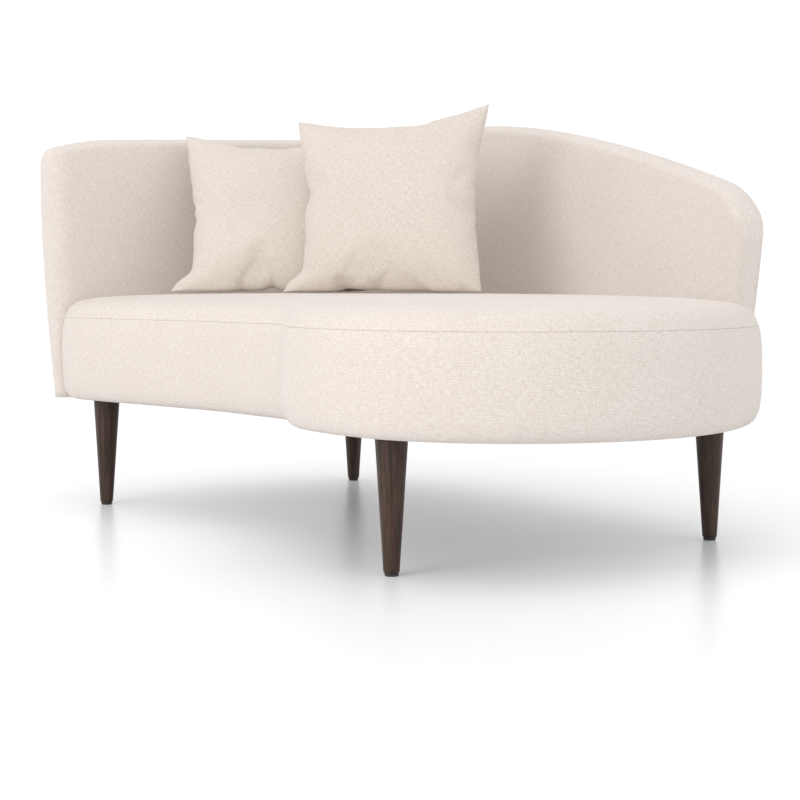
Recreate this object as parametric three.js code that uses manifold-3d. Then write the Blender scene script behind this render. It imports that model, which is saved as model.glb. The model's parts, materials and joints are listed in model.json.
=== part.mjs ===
// Kidney-shaped chaise sofa with a wrap-around back, four tapered wooden legs
// and two loose throw pillows.  Millimetres, +Z up, +X towards the foot end,
// -Y towards the open front.
import * as THREE from 'three';
import { mergeGeometries, mergeVertices } from 'three/addons/utils/BufferGeometryUtils.js';
import ManifoldModule from 'manifold-3d';

const wasm = await ManifoldModule();
wasm.setup();

// ---------------------------------------------------------------- dimensions
const GAP = 0.3;                 // clearance left between neighbouring pieces
const COVER = 2.2;               // upholstery fabric with its backing

const BASE_Z = 228;              // underside of the upholstery
const RING_Z = 230.1;            // underside of the plywood base ring
const RING_T = 18;
const SEAM_Z = 400;              // seam between border band and top panel
const CROWN_Z = 452;             // crown of the seat

const HEAD_X = -600;             // inner face of the head panel, at seat height
const HEAD_FRONT_Y = -405;       // front end of the head panel
const REAR_Y = 460;              // inner face of the rear panel, at seat height
const CORNER_R = 180;            // plan radius of the corner between them
const FOOT_X = 547;              // foot end of the rear panel

const LEG_TOP_R = 27.5;
const LEG_FOOT_R = 13.3;
const LEG_TOP_Z = 227;
const GLIDE_H = 5;
const PLATE = 64;
const PLATE_T = 2.5;
const SCREW_PITCH = 25;          // half the spacing of the plate's screws
const LEGS = {
  front_left: [-520, -326],
  rear_left: [-559, 341],
  front_right: [535, -333],
  rear_right: [579, 359],
};

const PILLOW = 208;              // half width of a throw pillow, corner to centre
const PILLOW_PUFF = 56;          // half thickness of its insert

// ---------------------------------------------------------------- materials
const material = (color, roughness, metalness = 0) =>
  new THREE.MeshStandardMaterial({ color, roughness, metalness });

const MAT = {
  fabric: material(0xe4dad0, 0.95),
  pillow: material(0xdfd3c6, 0.95),
  foam: material(0xe9e2c8, 0.9),
  fibre: material(0xf2f2ee, 0.95),
  ply: material(0xc9a679, 0.7),
  wood: material(0x3a2a22, 0.55),
  steel: material(0xb8babd, 0.35, 1),
  glide: material(0x1c1c1c, 0.6),
  cambric: material(0x151515, 0.95),
  web: material(0x3b3b3d, 0.85),
};

// ---------------------------------------------------------------- mesh helpers
function solid(positions, index) {
  const geometry = new THREE.BufferGeometry();
  geometry.setAttribute('position', new THREE.Float32BufferAttribute(positions.flat(), 3));
  geometry.setIndex(index);
  return geometry;
}

// Bare geometry of one of three's primitives, with its corners shared.
function bare(geometry) {
  const copy = geometry.clone();
  copy.deleteAttribute('normal');
  copy.deleteAttribute('uv');
  return mergeVertices(copy, 1e-4);
}

function toManifold(geometry) {
  const mesh = new wasm.Mesh({
    numProp: 3,
    vertProperties: new Float32Array(geometry.attributes.position.array),
    triVerts: new Uint32Array(geometry.index.array),
  });
  mesh.merge();
  return new wasm.Manifold(mesh);
}

function fromManifold(body) {
  const mesh = body.getMesh();
  const geometry = new THREE.BufferGeometry();
  geometry.setAttribute('position', new THREE.BufferAttribute(mesh.vertProperties, 3));
  geometry.setIndex(new THREE.BufferAttribute(mesh.triVerts, 1));
  return geometry;
}

// Cuts tools out of a body and keeps the largest piece that is left.
function cut(a, ...tools) {
  const left = tools.reduce((body, tool) => body.subtract(toManifold(tool)), toManifold(a));
  const pieces = left.decompose().sort((p, q) => q.volume() - p.volume());
  return fromManifold(pieces[0]);
}

const join = (a, b) => fromManifold(toManifold(a).add(toManifold(b)));
const common = (a, b) => fromManifold(toManifold(a).intersect(toManifold(b)));

// Skin through a run of equal-length closed rings; `flat` maps a ring point
// to the plane its end cap is triangulated in.
function loft(rings, flat) {
  const count = rings[0].length;
  const index = [];
  for (let r = 0; r + 1 < rings.length; r += 1) {
    for (let i = 0; i < count; i += 1) {
      const j = (i + 1) % count;
      const a = r * count;
      const b = a + count;
      index.push(a + i, a + j, b + j, a + i, b + j, b + i);
    }
  }
  const last = (rings.length - 1) * count;
  cap(rings[0], flat).forEach(([a, b, c]) => index.push(a, c, b));
  cap(rings[rings.length - 1], flat).forEach(([a, b, c]) => index.push(last + a, last + b, last + c));
  return outward(solid(rings.flat(), index));
}

// Triangles over a ring, wound the same way round as the ring itself.
function cap(ring, flat) {
  const outline = ring.map(flat);
  const faces = THREE.ShapeUtils.triangulateShape(outline, []);
  const area = (list) => THREE.ShapeUtils.area(list);
  const total = faces.reduce((sum, face) => sum + area(face.map((i) => outline[i])), 0);
  const turned = total * area(outline) < 0;
  return turned ? faces.map(([a, b, c]) => [a, c, b]) : faces;
}

// Turns a closed body so its faces point outwards.
function outward(geometry) {
  if (volume(geometry) > 0) {
    return geometry;
  }
  const index = geometry.index.array;
  for (let i = 0; i < index.length; i += 3) {
    [index[i + 1], index[i + 2]] = [index[i + 2], index[i + 1]];
  }
  return geometry;
}

function volume(geometry) {
  const corner = (i) => new THREE.Vector3().fromBufferAttribute(geometry.attributes.position, i);
  const index = geometry.index.array;
  let total = 0;
  for (let i = 0; i < index.length; i += 3) {
    total += corner(index[i]).dot(corner(index[i + 1]).cross(corner(index[i + 2])));
  }
  return total / 6;
}

const plan = ([x, y]) => new THREE.Vector2(x, y);

function box(w, d, h, x, y, z) {
  return bare(new THREE.BoxGeometry(w, d, h).translate(x, y, z + h / 2));
}

function rod(radius, z0, z1, x = 0, y = 0, sides = 20) {
  const geometry = new THREE.CylinderGeometry(radius, radius, z1 - z0, sides);
  return bare(geometry.rotateX(Math.PI / 2).translate(x, y, (z0 + z1) / 2));
}

function turned(profile, sides) {
  const points = profile.map(([r, z]) => new THREE.Vector2(r, z));
  return outward(bare(new THREE.LatheGeometry(points, sides).rotateX(Math.PI / 2)));
}

// ---------------------------------------------------------------- seat plan
// Widest outline of the seat: straight-ish under the head panel, a waist in
// the front edge, then the full rounded foot end.
const SEAT_ANCHORS = [
  [-632, -330], [-610, -384], [-545, -409], [-400, -392], [-220, -358], [-60, -334],
  [60, -330], [150, -329], [207, -341], [258, -373], [322, -403], [400, -417],
  [480, -419], [590, -404], [700, -346],
  [790, -246], [845, -120], [861, 10], [838, 140], [780, 262], [700, 365],
  [600, 445], [480, 490], [200, 492], [-200, 492], [-420, 470], [-560, 390],
  [-622, 240], [-636, 0], [-640, -220],
];
const OUTLINE_STEPS = 52;
const SEAT_MIDDLE = [80, 40];
const TRUE_INSET = 45;           // deeper insets also shrink the outline

const seatCurve = new THREE.CatmullRomCurve3(
  SEAT_ANCHORS.map(([x, y]) => new THREE.Vector3(x, y, 0)), true, 'centripetal',
);

// Seat outline moved inwards by about `inset`.
function seatRing(z, inset) {
  const offset = Math.min(inset, TRUE_INSET);
  const scale = 1 - (inset - offset) / 450;
  const [mx, my] = SEAT_MIDDLE;
  const ring = [];
  for (let i = 0; i < OUTLINE_STEPS; i += 1) {
    const p = seatCurve.getPointAt(i / OUTLINE_STEPS);
    const along = seatCurve.getTangentAt(i / OUTLINE_STEPS);
    const x = p.x - along.y * offset;
    const y = p.y + along.x * offset;
    ring.push([mx + (x - mx) * scale, my + (y - my) * scale, z]);
  }
  return ring;
}

const seatSlab = (inset, z0, z1) => loft([seatRing(z0, inset), seatRing(z1, inset)], plan);

// ---------------------------------------------------------------- back shell
const HEAD_RUN = REAR_Y - CORNER_R - HEAD_FRONT_Y;
const CORNER_RUN = (Math.PI / 2) * CORNER_R;
const REAR_RUN = FOOT_X - HEAD_X - CORNER_R;
const RUN = HEAD_RUN + CORNER_RUN + REAR_RUN;
const END_R = 22;                // how far each face turns in at the back's two ends
const HEAD_ROLL = 42;            // length over which the head panel's end turns in
const HEAD_DROP_R = 18;          // elevation rounding at the head panel's end
const HEAD_DIP = 22;             // fall of the top line towards the head panel's end
const HEAD_DIP_RUN = 170;
const FOOT_DROP_R = 85;          // elevation rounding at the foot end
const RIM = 22;                  // rounding of the top edge

// Plan point at distance s along the back's inner face, w outside of it.
function backPoint(s, w) {
  if (s < HEAD_RUN) {
    return [HEAD_X - w, HEAD_FRONT_Y + s];
  }
  if (s < HEAD_RUN + CORNER_RUN) {
    const a = (s - HEAD_RUN) / CORNER_R;
    const r = CORNER_R + w;
    return [HEAD_X + CORNER_R - r * Math.cos(a), REAR_Y - CORNER_R + r * Math.sin(a)];
  }
  return [HEAD_X + CORNER_R + s - HEAD_RUN - CORNER_RUN, REAR_Y + w];
}

// Top line: rises gently to a peak past the corner, then sweeps down.
function backTop(s) {
  const peak = HEAD_RUN + CORNER_RUN + 120;
  if (s < peak) {
    const dip = HEAD_DIP * Math.max(0, 1 - s / HEAD_DIP_RUN) ** 2;
    return 786 + 52.5 * (Math.max(s, 0) / peak) ** 0.9 - dip;
  }
  return 838.5 - 186 * ((s - peak) / 830) ** 1.6;
}

const round = (d, r) => (d >= r ? 0 : r - Math.sqrt(Math.max(0, r * r - (r - d) ** 2)));
const endDrop = (s) => round(s, HEAD_DROP_R) + round(RUN - s, FOOT_DROP_R);
const endPinch = (s) => round(s * (END_R / HEAD_ROLL), END_R) + round(RUN - s, END_R);
const innerFace = (z) => -20 + 0.107 * (z - 250);
const outerFace = (z) => 28 + 77 * Math.sin((Math.PI / 2) * THREE.MathUtils.clamp((z - 235) / 500, 0, 1));

const STATIONS = [];
for (let k = 0; k <= 5; k += 1) {
  STATIONS.push(HEAD_ROLL * (1 - Math.cos((k * Math.PI) / 10)));
}
for (const f of [0.18, 0.45, 0.72]) {
  STATIONS.push(HEAD_RUN * f);
}
for (let k = 0; k <= 6; k += 1) {
  STATIONS.push(HEAD_RUN + (CORNER_RUN * k) / 6);
}
for (let k = 1; k <= 6; k += 1) {
  STATIONS.push(HEAD_RUN + CORNER_RUN + ((REAR_RUN - FOOT_DROP_R) * k) / 6 - 1);
}
for (let k = 6; k >= 0; k -= 1) {
  STATIONS.push(RUN - FOOT_DROP_R * (1 - Math.cos((k * Math.PI) / 12)));
}

// Vertical section of the back at station s as [w, z] points.
function backSection(s, { inner, outer, top = 0, bottom = BASE_Z, rim = RIM }) {
  const full = backTop(s) - endDrop(s) - RIM;
  const levels = [bottom];
  for (let k = 1; k < 4; k += 1) {
    levels.push(BASE_Z + ((full - BASE_Z) * k) / 4);
  }
  levels.push(full - top);
  const thinnest = Math.min(...levels.map((z) => outer(z) - inner(z)));
  const pinch = Math.min(endPinch(s), 0.4 * thinnest);
  const up = levels.map((z) => [inner(z) + pinch, z]);
  const down = levels.map((z) => [outer(z) - pinch, z]).reverse();
  const [wi, z] = up[up.length - 1];
  const wo = down[0][0];
  const arc = [45, 90, 135].map((deg) => {
    const a = THREE.MathUtils.degToRad(deg);
    return [(wi + wo) / 2 - ((wo - wi) / 2) * Math.cos(a), z + rim * Math.sin(a)];
  });
  return [...up, ...arc, ...down];
}

// Body swept along the back; `ends` shortens it at both ends.
function backBody(options) {
  const ends = options.ends ?? 0;
  const rings = STATIONS.map((s) => {
    const moved = ends + (s * (RUN - 2 * ends)) / RUN;
    return backSection(s, options).map(([w, z]) => [...backPoint(moved, w), z]);
  });
  return loft(rings, ([x, y, z]) => new THREE.Vector2(x + y, z));
}

// Plain band following the back between two offsets and two heights.
function backBand(w0, w1, z0, z1, s0, s1) {
  const stops = [s0, ...STATIONS.filter((s) => s > s0 + 1 && s < s1 - 1), s1];
  const rings = stops.map((s) => {
    const top = typeof z1 === 'function' ? z1(s) : z1;
    return [[w0, z0], [w0, top], [w1, top], [w1, z0]].map(([w, z]) => [...backPoint(s, w), z]);
  });
  return loft(rings, ([x, y, z]) => new THREE.Vector2(x + y, z));
}

// Room the back takes out of the seat, with clearance.
function seatKeepOut() {
  const body = backBody({
    inner: (z) => innerFace(z) - 0.5, outer: () => 130, bottom: 205, ends: -0.5,
  });
  return body;
}

// ---------------------------------------------------------------- upholstery
const BORDER = [
  [31, BASE_Z], [15, BASE_Z + 6], [4, BASE_Z + 34], [0, 328], [1, 372], [6, SEAM_Z - 2],
];

// Band round the side of the seat, tucked under at the bottom edge.
function seatBorderCover() {
  const outside = BORDER.map(([inset, z]) => seatRing(z, inset));
  const inside = BORDER.map(([inset, z], i) => (i === 0
    ? seatRing(z + 1.6, inset)
    : seatRing(i === 1 ? z + 1.5 : z, inset + COVER)));
  return cut(tube([...outside, ...inside.reverse()]), seatKeepOut());
}

// Closed loop of rings: first and last are joined.
function tube(rings) {
  const count = rings[0].length;
  const index = [];
  for (let r = 0; r < rings.length; r += 1) {
    for (let i = 0; i < count; i += 1) {
      const j = (i + 1) % count;
      const a = r * count;
      const b = ((r + 1) % rings.length) * count;
      index.push(a + i, a + j, b + j, a + i, b + j, b + i);
    }
  }
  return outward(solid(rings.flat(), index));
}

const CROWN = [
  [8, SEAM_Z + 1], [14, SEAM_Z + 19], [30, SEAM_Z + 31],
  [60, SEAM_Z + 40], [150, SEAM_Z + 48], [330, CROWN_Z],
];

// Domed top panel of the seat.
function seatTopCover() {
  const outside = CROWN.map(([inset, z]) => seatRing(z, inset));
  const inside = CROWN.map(([inset, z]) =>
    seatRing(z - (z > SEAM_Z + 10 ? COVER : 0), inset + (z > SEAM_Z + 35 ? 0 : COVER)));
  return cut(loft([...inside.reverse(), ...outside], plan), seatKeepOut());
}

// Foam block on the webbing, under the top panel.
function seatFoam() {
  const rings = [
    seatRing(344.5, 34), seatRing(SEAM_Z - 2, 30), seatRing(SEAM_Z + 17, 32),
    ...CROWN.slice(3).map(([inset, z]) => seatRing(z - COVER - 1, inset + 2)),
  ];
  return cut(loft(rings, plan), seatKeepOut());
}

// Softer wrap round the frame that gives the border its rounded face.
function borderFoam() {
  const outside = [[27, 240], [17, 243], [8, 264], [3.6, 328], [5, 372], [9.5, 397]];
  const rings = outside.map(([inset, z]) => seatRing(z, inset));
  const inside = [seatRing(397, 29.5), seatRing(244, 29.5)];
  return cut(tube([...rings, ...inside]), seatKeepOut());
}

// Bent plywood wall between the base ring and the top ring.
function sidePanel() {
  const wall = cut(seatSlab(30.5, 250.3, 341), seatSlab(35.5, 245, 345));
  return cut(wall, seatKeepOut());
}

function topRing() {
  const ring = cut(seatSlab(36, 323, 341), seatSlab(100, 320, 345));
  return cut(ring, seatKeepOut());
}

// Plywood ring on the legs; it also carries the foot of the back.
function baseRing() {
  const under = backBand(-90, 22, RING_Z, RING_Z + RING_T, 42, RUN - 14);
  const outline = join(cut(seatSlab(31.5, RING_Z, RING_Z + RING_T), seatKeepOut()), under);
  const hole = cut(seatSlab(118, RING_Z - 5, RING_Z + RING_T + 5),
    backBand(-95, 80, 200, 300, -40, RUN + 40));
  const bores = Object.values(LEGS).flatMap((spot) => [
    rod(8.2, RING_Z - 5, RING_Z + RING_T + 5, ...spot, 16),
    ...screwSpots(spot).map(([x, y]) => rod(2.5, RING_Z - 5, RING_Z + RING_T - 1, x, y, 8)),
  ]);
  return cut(outline, hole, ...bores);
}

// Black cloth closing the underside, cut out round the leg plates.
function dustCover() {
  const z0 = RING_Z - 1.3;
  const z1 = RING_Z - GAP;
  const middle = cut(seatSlab(34.5, z0, z1), seatKeepOut());
  const sheet = join(middle, backBand(-60, 20, z0, z1, 46, RUN - 30));
  const holes = Object.values(LEGS).map(([x, y]) => box(PLATE + 1, PLATE + 1, 20, x, y, z0 - 10));
  return cut(sheet, ...holes);
}

// ---------------------------------------------------------------- back pieces
const seamTop = (s) => backTop(s) - endDrop(s) - 52;

const backSkin = () => cut(
  backBody({ inner: innerFace, outer: outerFace }),
  backBody({
    inner: (z) => innerFace(z) + COVER, outer: (z) => outerFace(z) - COVER,
    top: COVER, bottom: 210, ends: COVER,
  }),
);

// Zone of the outside face that the separate outside panel covers.
function outsideZone(grow) {
  const s0 = 30 - grow;
  const s1 = RUN - 92 + grow;
  const stops = [s0, ...STATIONS.filter((s) => s > s0 + 4 && s < s1 - 4), s1];
  const rings = stops.map((s) => {
    const z1 = seamTop(s) + grow;
    const low = outerFace(BASE_Z) - 15;
    const high = outerFace(z1) - 15;
    return [[low, 200], [low, BASE_Z], [high, z1], [150, z1], [150, 200]]
      .map(([w, z]) => [...backPoint(s, w), z]);
  });
  return loft(rings, ([x, y, z]) => new THREE.Vector2(x + y, z));
}

function backInnerCover() {
  const foot = backBand(-60, 8, 200, RING_Z + RING_T + 2, -20, RUN + 20);
  return cut(backSkin(), outsideZone(GAP / 2), foot);
}

const backOuterCover = () => common(backSkin(), outsideZone(-GAP / 2));

const backLayer = (from, to, top) => backBody({
  inner: (z) => innerFace(z) + from, outer: to, top, rim: 7, bottom: RING_Z + RING_T + GAP, ends: 23,
});

const backInnerFoam = () => backLayer(3.4, (z) => innerFace(z) + 21.5, 3);
const backPanel = () => backLayer(21.8, (z) => innerFace(z) + 37.5, 14);
const backOuterPad = () => backLayer(37.8, (z) => Math.max(outerFace(z) - 3.6, innerFace(z) + 43), 4);

// ---------------------------------------------------------------- inner frame
// Hardwood corner block over each leg, between the two rings.
function cornerBlock([x, y], keepOut) {
  const inX = x > 0 ? -12 : 12;
  const inY = y > 0 ? -16 : 14;
  const z0 = RING_Z + RING_T + GAP;
  const block = cut(box(84, 84, 322.7 - z0, x + inX, y + inY, z0), rod(9, z0 - 5, z0 + 40, x, y));
  const inside = common(block, seatSlab(36.2, z0 - 2, 330));
  return cut(inside, keepOut);
}

// Elastic strap across the top ring.
function webStrap(x, y0, y1) {
  const z = 341.3;
  return box(60, y1 - y0, 2.4, x, (y0 + y1) / 2, z);
}

// ---------------------------------------------------------------- legs
function leg(x, y) {
  const z0 = GLIDE_H + GAP;
  const body = turned([
    [0, z0], [LEG_FOOT_R - 1.5, z0], [LEG_FOOT_R, z0 + 1.8], [LEG_TOP_R, LEG_TOP_Z - 1.2],
    [LEG_TOP_R - 1, LEG_TOP_Z], [0, LEG_TOP_Z],
  ], 24).translate(x, y, 0);
  return cut(body, rod(2.5, -5, z0 + 13, x, y, 10), rod(4.5, LEG_TOP_Z - 42, LEG_TOP_Z + 5, x, y, 12));
}

function glide(x, y) {
  return turned([
    [0, 0], [10.2, 0], [11.6, 1.2], [11.6, GLIDE_H], [2.2, GLIDE_H], [2.2, GLIDE_H + 12], [0, GLIDE_H + 12],
  ], 16).translate(x, y, 0);
}

function hangerBolt(x, y) {
  return rod(4, LEG_TOP_Z - 41, LEG_TOP_Z + 16, x, y, 12);
}

const screwSpots = ([x, y]) => [[-1, -1], [1, -1], [1, 1], [-1, 1]]
  .map(([i, j]) => [x + i * SCREW_PITCH, y + j * SCREW_PITCH]);

// Pressed plate with a raised threaded boss that takes the hanger bolt.
function legPlate(spot) {
  const [x, y] = spot;
  const z0 = LEG_TOP_Z + GAP;
  const plate = join(box(PLATE, PLATE, PLATE_T, x, y, z0), rod(7.5, z0, z0 + 12, x, y, 16));
  return cut(plate, rod(4.5, z0 - 5, z0 + 20, x, y, 12),
    ...screwSpots(spot).map(([a, b]) => rod(2.7, z0 - 5, z0 + 10, a, b, 8)));
}

function plateScrew(x, y) {
  const z = LEG_TOP_Z;
  return turned([
    [0, z - 2.2], [3.4, z - 1.6], [4.3, z], [2.1, z], [2.1, z + 13], [0, z + 17],
  ], 8).translate(x, y, 0);
}

// ---------------------------------------------------------------- pillows
const PILLOW_GRID = 8;

function pillowOutline(u, v, half) {
  const x = half * u * (1 - 0.07 * (1 - v * v));
  const y = half * v * (1 - 0.07 * (1 - u * u));
  return [x, y];
}

const puff = (u, v, height) => height * ((1 - u ** 4) * (1 - v ** 4)) ** 0.62;

// Grid over the pillow's face; height gives its surface.
function pillowGrid(half, height) {
  const points = [];
  for (let j = 0; j <= PILLOW_GRID; j += 1) {
    for (let i = 0; i <= PILLOW_GRID; i += 1) {
      const u = Math.sin((Math.PI / 2) * ((2 * i) / PILLOW_GRID - 1));
      const v = Math.sin((Math.PI / 2) * ((2 * j) / PILLOW_GRID - 1));
      points.push([...pillowOutline(u, v, half), height(u, v)]);
    }
  }
  return points;
}

// Closed body between two grids, the upper one first.
function between(upper, lower) {
  const n = PILLOW_GRID + 1;
  const index = [];
  const add = (a, b, c, d) => index.push(a, b, c, a, c, d);
  for (let j = 0; j < PILLOW_GRID; j += 1) {
    for (let i = 0; i < PILLOW_GRID; i += 1) {
      const a = j * n + i;
      add(a, a + 1, a + n + 1, a + n);
      add(n * n + a, n * n + a + n, n * n + a + n + 1, n * n + a + 1);
    }
  }
  const rim = [];
  for (let i = 0; i < PILLOW_GRID; i += 1) rim.push(i);
  for (let j = 0; j < PILLOW_GRID; j += 1) rim.push(j * n + PILLOW_GRID);
  for (let i = PILLOW_GRID; i > 0; i -= 1) rim.push(PILLOW_GRID * n + i);
  for (let j = PILLOW_GRID; j > 0; j -= 1) rim.push(j * n);
  rim.forEach((a, k) => {
    const b = rim[(k + 1) % rim.length];
    add(b, a, n * n + a, n * n + b);
  });
  return outward(solid([...upper, ...lower], index));
}

function pillowPanel(side) {
  const inner = (u, v) => side * (GAP / 2 + puff(u, v, PILLOW_PUFF));
  const outer = (u, v) => side * (GAP / 2 + 1.6 + puff(u, v, PILLOW_PUFF));
  return between(pillowGrid(PILLOW, outer), pillowGrid(PILLOW, inner));
}

function pillowInsert() {
  const face = (side) => pillowGrid(PILLOW * 0.95, (u, v) => side * (0.5 + puff(u, v, PILLOW_PUFF - 6)));
  return between(face(1), face(-1));
}

// Stands a pillow on one edge: `turn` about the vertical, `lean` backwards,
// `roll` in its own plane.
function placePillow(geometry, { at, turn, lean, roll }) {
  const rad = THREE.MathUtils.degToRad;
  const upright = new THREE.Matrix4().makeRotationX(Math.PI / 2 - rad(lean));
  const matrix = new THREE.Matrix4().makeTranslation(...at)
    .multiply(new THREE.Matrix4().makeRotationZ(rad(turn)))
    .multiply(upright)
    .multiply(new THREE.Matrix4().makeRotationZ(rad(roll)));
  return geometry.applyMatrix4(matrix);
}

const PILLOWS = {
  left: { at: [-361, 4, 631], turn: 50, lean: 35, roll: 1 },
  right: { at: [-80, 101, 656], turn: 40, lean: 22, roll: 2 },
};

// ---------------------------------------------------------------- assembly
const sofa = new THREE.Group();
sofa.name = 'kidney_chaise_sofa';

function add(name, geometry, look) {
  const mesh = new THREE.Mesh(geometry, look);
  mesh.name = name;
  sofa.add(mesh);
}

add('seat_top_cover', seatTopCover(), MAT.fabric);
add('seat_border_cover', seatBorderCover(), MAT.fabric);
add('seat_foam', seatFoam(), MAT.foam);
add('seat_border_foam', borderFoam(), MAT.foam);
add('seat_side_panel', sidePanel(), MAT.ply);
add('seat_top_ring', topRing(), MAT.ply);
add('base_ring', baseRing(), MAT.ply);
add('dust_cover', dustCover(), MAT.cambric);
add('back_inner_cover', backInnerCover(), MAT.fabric);
add('back_outer_cover', backOuterCover(), MAT.fabric);
add('back_inner_foam', backInnerFoam(), MAT.foam);
add('back_outer_pad', backOuterPad(), MAT.fibre);
add('back_panel', backPanel(), MAT.ply);

const keepOut = seatKeepOut();
[[-400, -330, 430], [-130, -290, 430], [140, -290, 430], [410, -355, 430]].forEach(([x, y0, y1], i) => {
  add(`web_strap_${i + 1}`, webStrap(x, y0, y1), MAT.web);
});

for (const [place, spot] of Object.entries(LEGS)) {
  add(`corner_block_${place}`, cornerBlock(spot, keepOut), MAT.ply);
  add(`leg_${place}`, leg(...spot), MAT.wood);
  add(`leg_plate_${place}`, legPlate(spot), MAT.steel);
  add(`hanger_bolt_${place}`, hangerBolt(...spot), MAT.steel);
  add(`glide_${place}`, glide(...spot), MAT.glide);
  screwSpots(spot).forEach(([x, y], i) => {
    add(`screw_${place}_${i + 1}`, plateScrew(x, y), MAT.steel);
  });
}

for (const [side, place] of Object.entries(PILLOWS)) {
  add(`pillow_${side}_front_cover`, placePillow(pillowPanel(1), place), MAT.pillow);
  add(`pillow_${side}_back_cover`, placePillow(pillowPanel(-1), place), MAT.pillow);
  add(`pillow_${side}_insert`, placePillow(pillowInsert(), place), MAT.fibre);
}

// Puts the origin under the middle of the sofa's box, on the floor.
const bounds = new THREE.Box3().setFromObject(sofa);
const middle = bounds.getCenter(new THREE.Vector3());
sofa.children.forEach((mesh) => mesh.geometry.translate(-middle.x, -middle.y, -bounds.min.z));

export default sofa;
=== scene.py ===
import json
import math

import bmesh
import bpy
from mathutils import Matrix, Vector, noise
from mathutils.geometry import area_tri, delaunay_2d_cdt


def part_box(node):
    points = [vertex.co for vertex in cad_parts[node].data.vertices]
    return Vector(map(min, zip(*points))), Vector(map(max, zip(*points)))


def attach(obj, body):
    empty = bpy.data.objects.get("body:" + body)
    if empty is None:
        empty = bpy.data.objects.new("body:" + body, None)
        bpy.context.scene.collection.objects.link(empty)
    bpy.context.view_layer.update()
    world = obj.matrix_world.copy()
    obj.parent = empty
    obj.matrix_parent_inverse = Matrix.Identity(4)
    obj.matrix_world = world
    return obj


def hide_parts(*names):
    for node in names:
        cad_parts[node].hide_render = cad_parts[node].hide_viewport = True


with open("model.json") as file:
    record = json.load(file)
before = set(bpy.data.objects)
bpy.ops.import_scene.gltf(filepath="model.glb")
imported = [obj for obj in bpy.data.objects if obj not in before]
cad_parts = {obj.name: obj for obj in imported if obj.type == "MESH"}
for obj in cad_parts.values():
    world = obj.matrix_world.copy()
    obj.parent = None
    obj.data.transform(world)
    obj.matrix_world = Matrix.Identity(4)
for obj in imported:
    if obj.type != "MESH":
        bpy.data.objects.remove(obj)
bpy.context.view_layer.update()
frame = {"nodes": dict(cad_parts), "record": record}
nodes = frame["nodes"]

# ------------------------------------------------------------------ dimensions
# The same plan as the CAD, in metres, before it is centred on its box.
glide_low, glide_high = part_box("glide_front_left")
GLIDE_AT = (-0.520, -0.326)
SHIFT = Vector((
    (glide_low.x + glide_high.x) / 2 - GLIDE_AT[0],
    (glide_low.y + glide_high.y) / 2 - GLIDE_AT[1],
    0,
))

BASE_Z = 0.228
CROWN_Z = 0.452
HEAD_X, HEAD_FRONT_Y, REAR_Y = -0.600, -0.405, 0.460
CORNER_R, FOOT_X = 0.180, 0.547
END_R, HEAD_DROP_R, FOOT_DROP_R, RIM = 0.022, 0.018, 0.085, 0.022
HEAD_ROLL, HEAD_DIP, HEAD_DIP_RUN = 0.042, 0.022, 0.170
LEGS = {
    "front_left": GLIDE_AT, "rear_left": (-0.559, 0.341),
    "front_right": (0.535, -0.333), "rear_right": (0.579, 0.359),
}
# Points on the seat's outline, in millimetres, from the head end's front corner along the front.
SEAT_ANCHORS = [
    (-632, -330), (-610, -384), (-545, -409), (-400, -392), (-220, -358), (-60, -334),
    (60, -330), (150, -329), (207, -341), (258, -373), (322, -403), (400, -417),
    (480, -419), (590, -404), (700, -346),
    (790, -246), (845, -120), (861, 10), (838, 140), (780, 262), (700, 365),
    (600, 445), (480, 490), (200, 492), (-200, 492), (-420, 470), (-560, 390),
    (-622, 240), (-636, 0), (-640, -220),
]
SEAT_MIDDLE = Vector((0.08, 0.04))
SEAT_HALF = 0.450                # how far the middle is from the rim, for shrinking the outline
EDGE_OFFSET = 0.045              # insets up to this are true offsets
SEAT_COLS = 320
CURVE_STEPS = 40                 # points to each span of the outline's curve
PROFILE_STEPS = 4                # points to each span of a section's curve
SEAT_GAP = 0.0012                # between the seat's cover and the back's
FLAT_TOP_Z = 0.444               # above this the top panel's cloth lies as its plan

INNER_FOOT, INNER_LEAN, INNER_Z = -0.020, 0.107, 0.250
OUTER_FOOT, OUTER_BOW, OUTER_Z, OUTER_RISE = 0.028, 0.077, 0.235, 0.500
HEAD_TOP_Z, PEAK_Z, PEAK_PAST_CORNER = 0.786, 0.8385, 0.120
FOOT_FALL, FALL_RUN = 0.186, 0.830
SEAM_DROP = 0.052                # outside seam, below the top edge
FOOT_SEAM = 0.092                # outside seam, before the foot end
IN_STEPS, ARC_STEPS, SEAM_STEPS, OUT_STEPS = 34, 14, 4, 30             # up, over and down a section
END_STEPS, HEAD_STEPS, CORNER_STEPS, REAR_STEPS = 16, 18, 24, 30        # sections along the back
CLOTH, THIN_CLOTH = 0.0014, 0.0006
SEAM_ROLL, SEAM_REACH = 0.0016, 0.3

HEAD_RUN = REAR_Y - CORNER_R - HEAD_FRONT_Y
CORNER_RUN = math.pi / 2 * CORNER_R
REAR_RUN = FOOT_X - HEAD_X - CORNER_R
RUN = HEAD_RUN + CORNER_RUN + REAR_RUN


# ------------------------------------------------------------------ mesh helpers
def add_object(name, mesh):
    mesh.polygons.foreach_set("use_smooth", [True] * len(mesh.polygons))
    obj = bpy.data.objects.new(name, mesh)
    bpy.context.scene.collection.objects.link(obj)
    return obj


def new_object(name, verts, faces, uvs=()):
    """An object from points and faces, with a list of uv pairs for each face."""
    mesh = bpy.data.meshes.new(name)
    mesh.from_pydata([tuple(v) for v in verts], [], faces)
    if uvs:
        layer = mesh.uv_layers.new(name="UVMap")
        for poly in mesh.polygons:
            for loop, uv in zip(poly.loop_indices, uvs[poly.index]):
                layer.data[loop].uv = uv
    return add_object(name, mesh)


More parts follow.
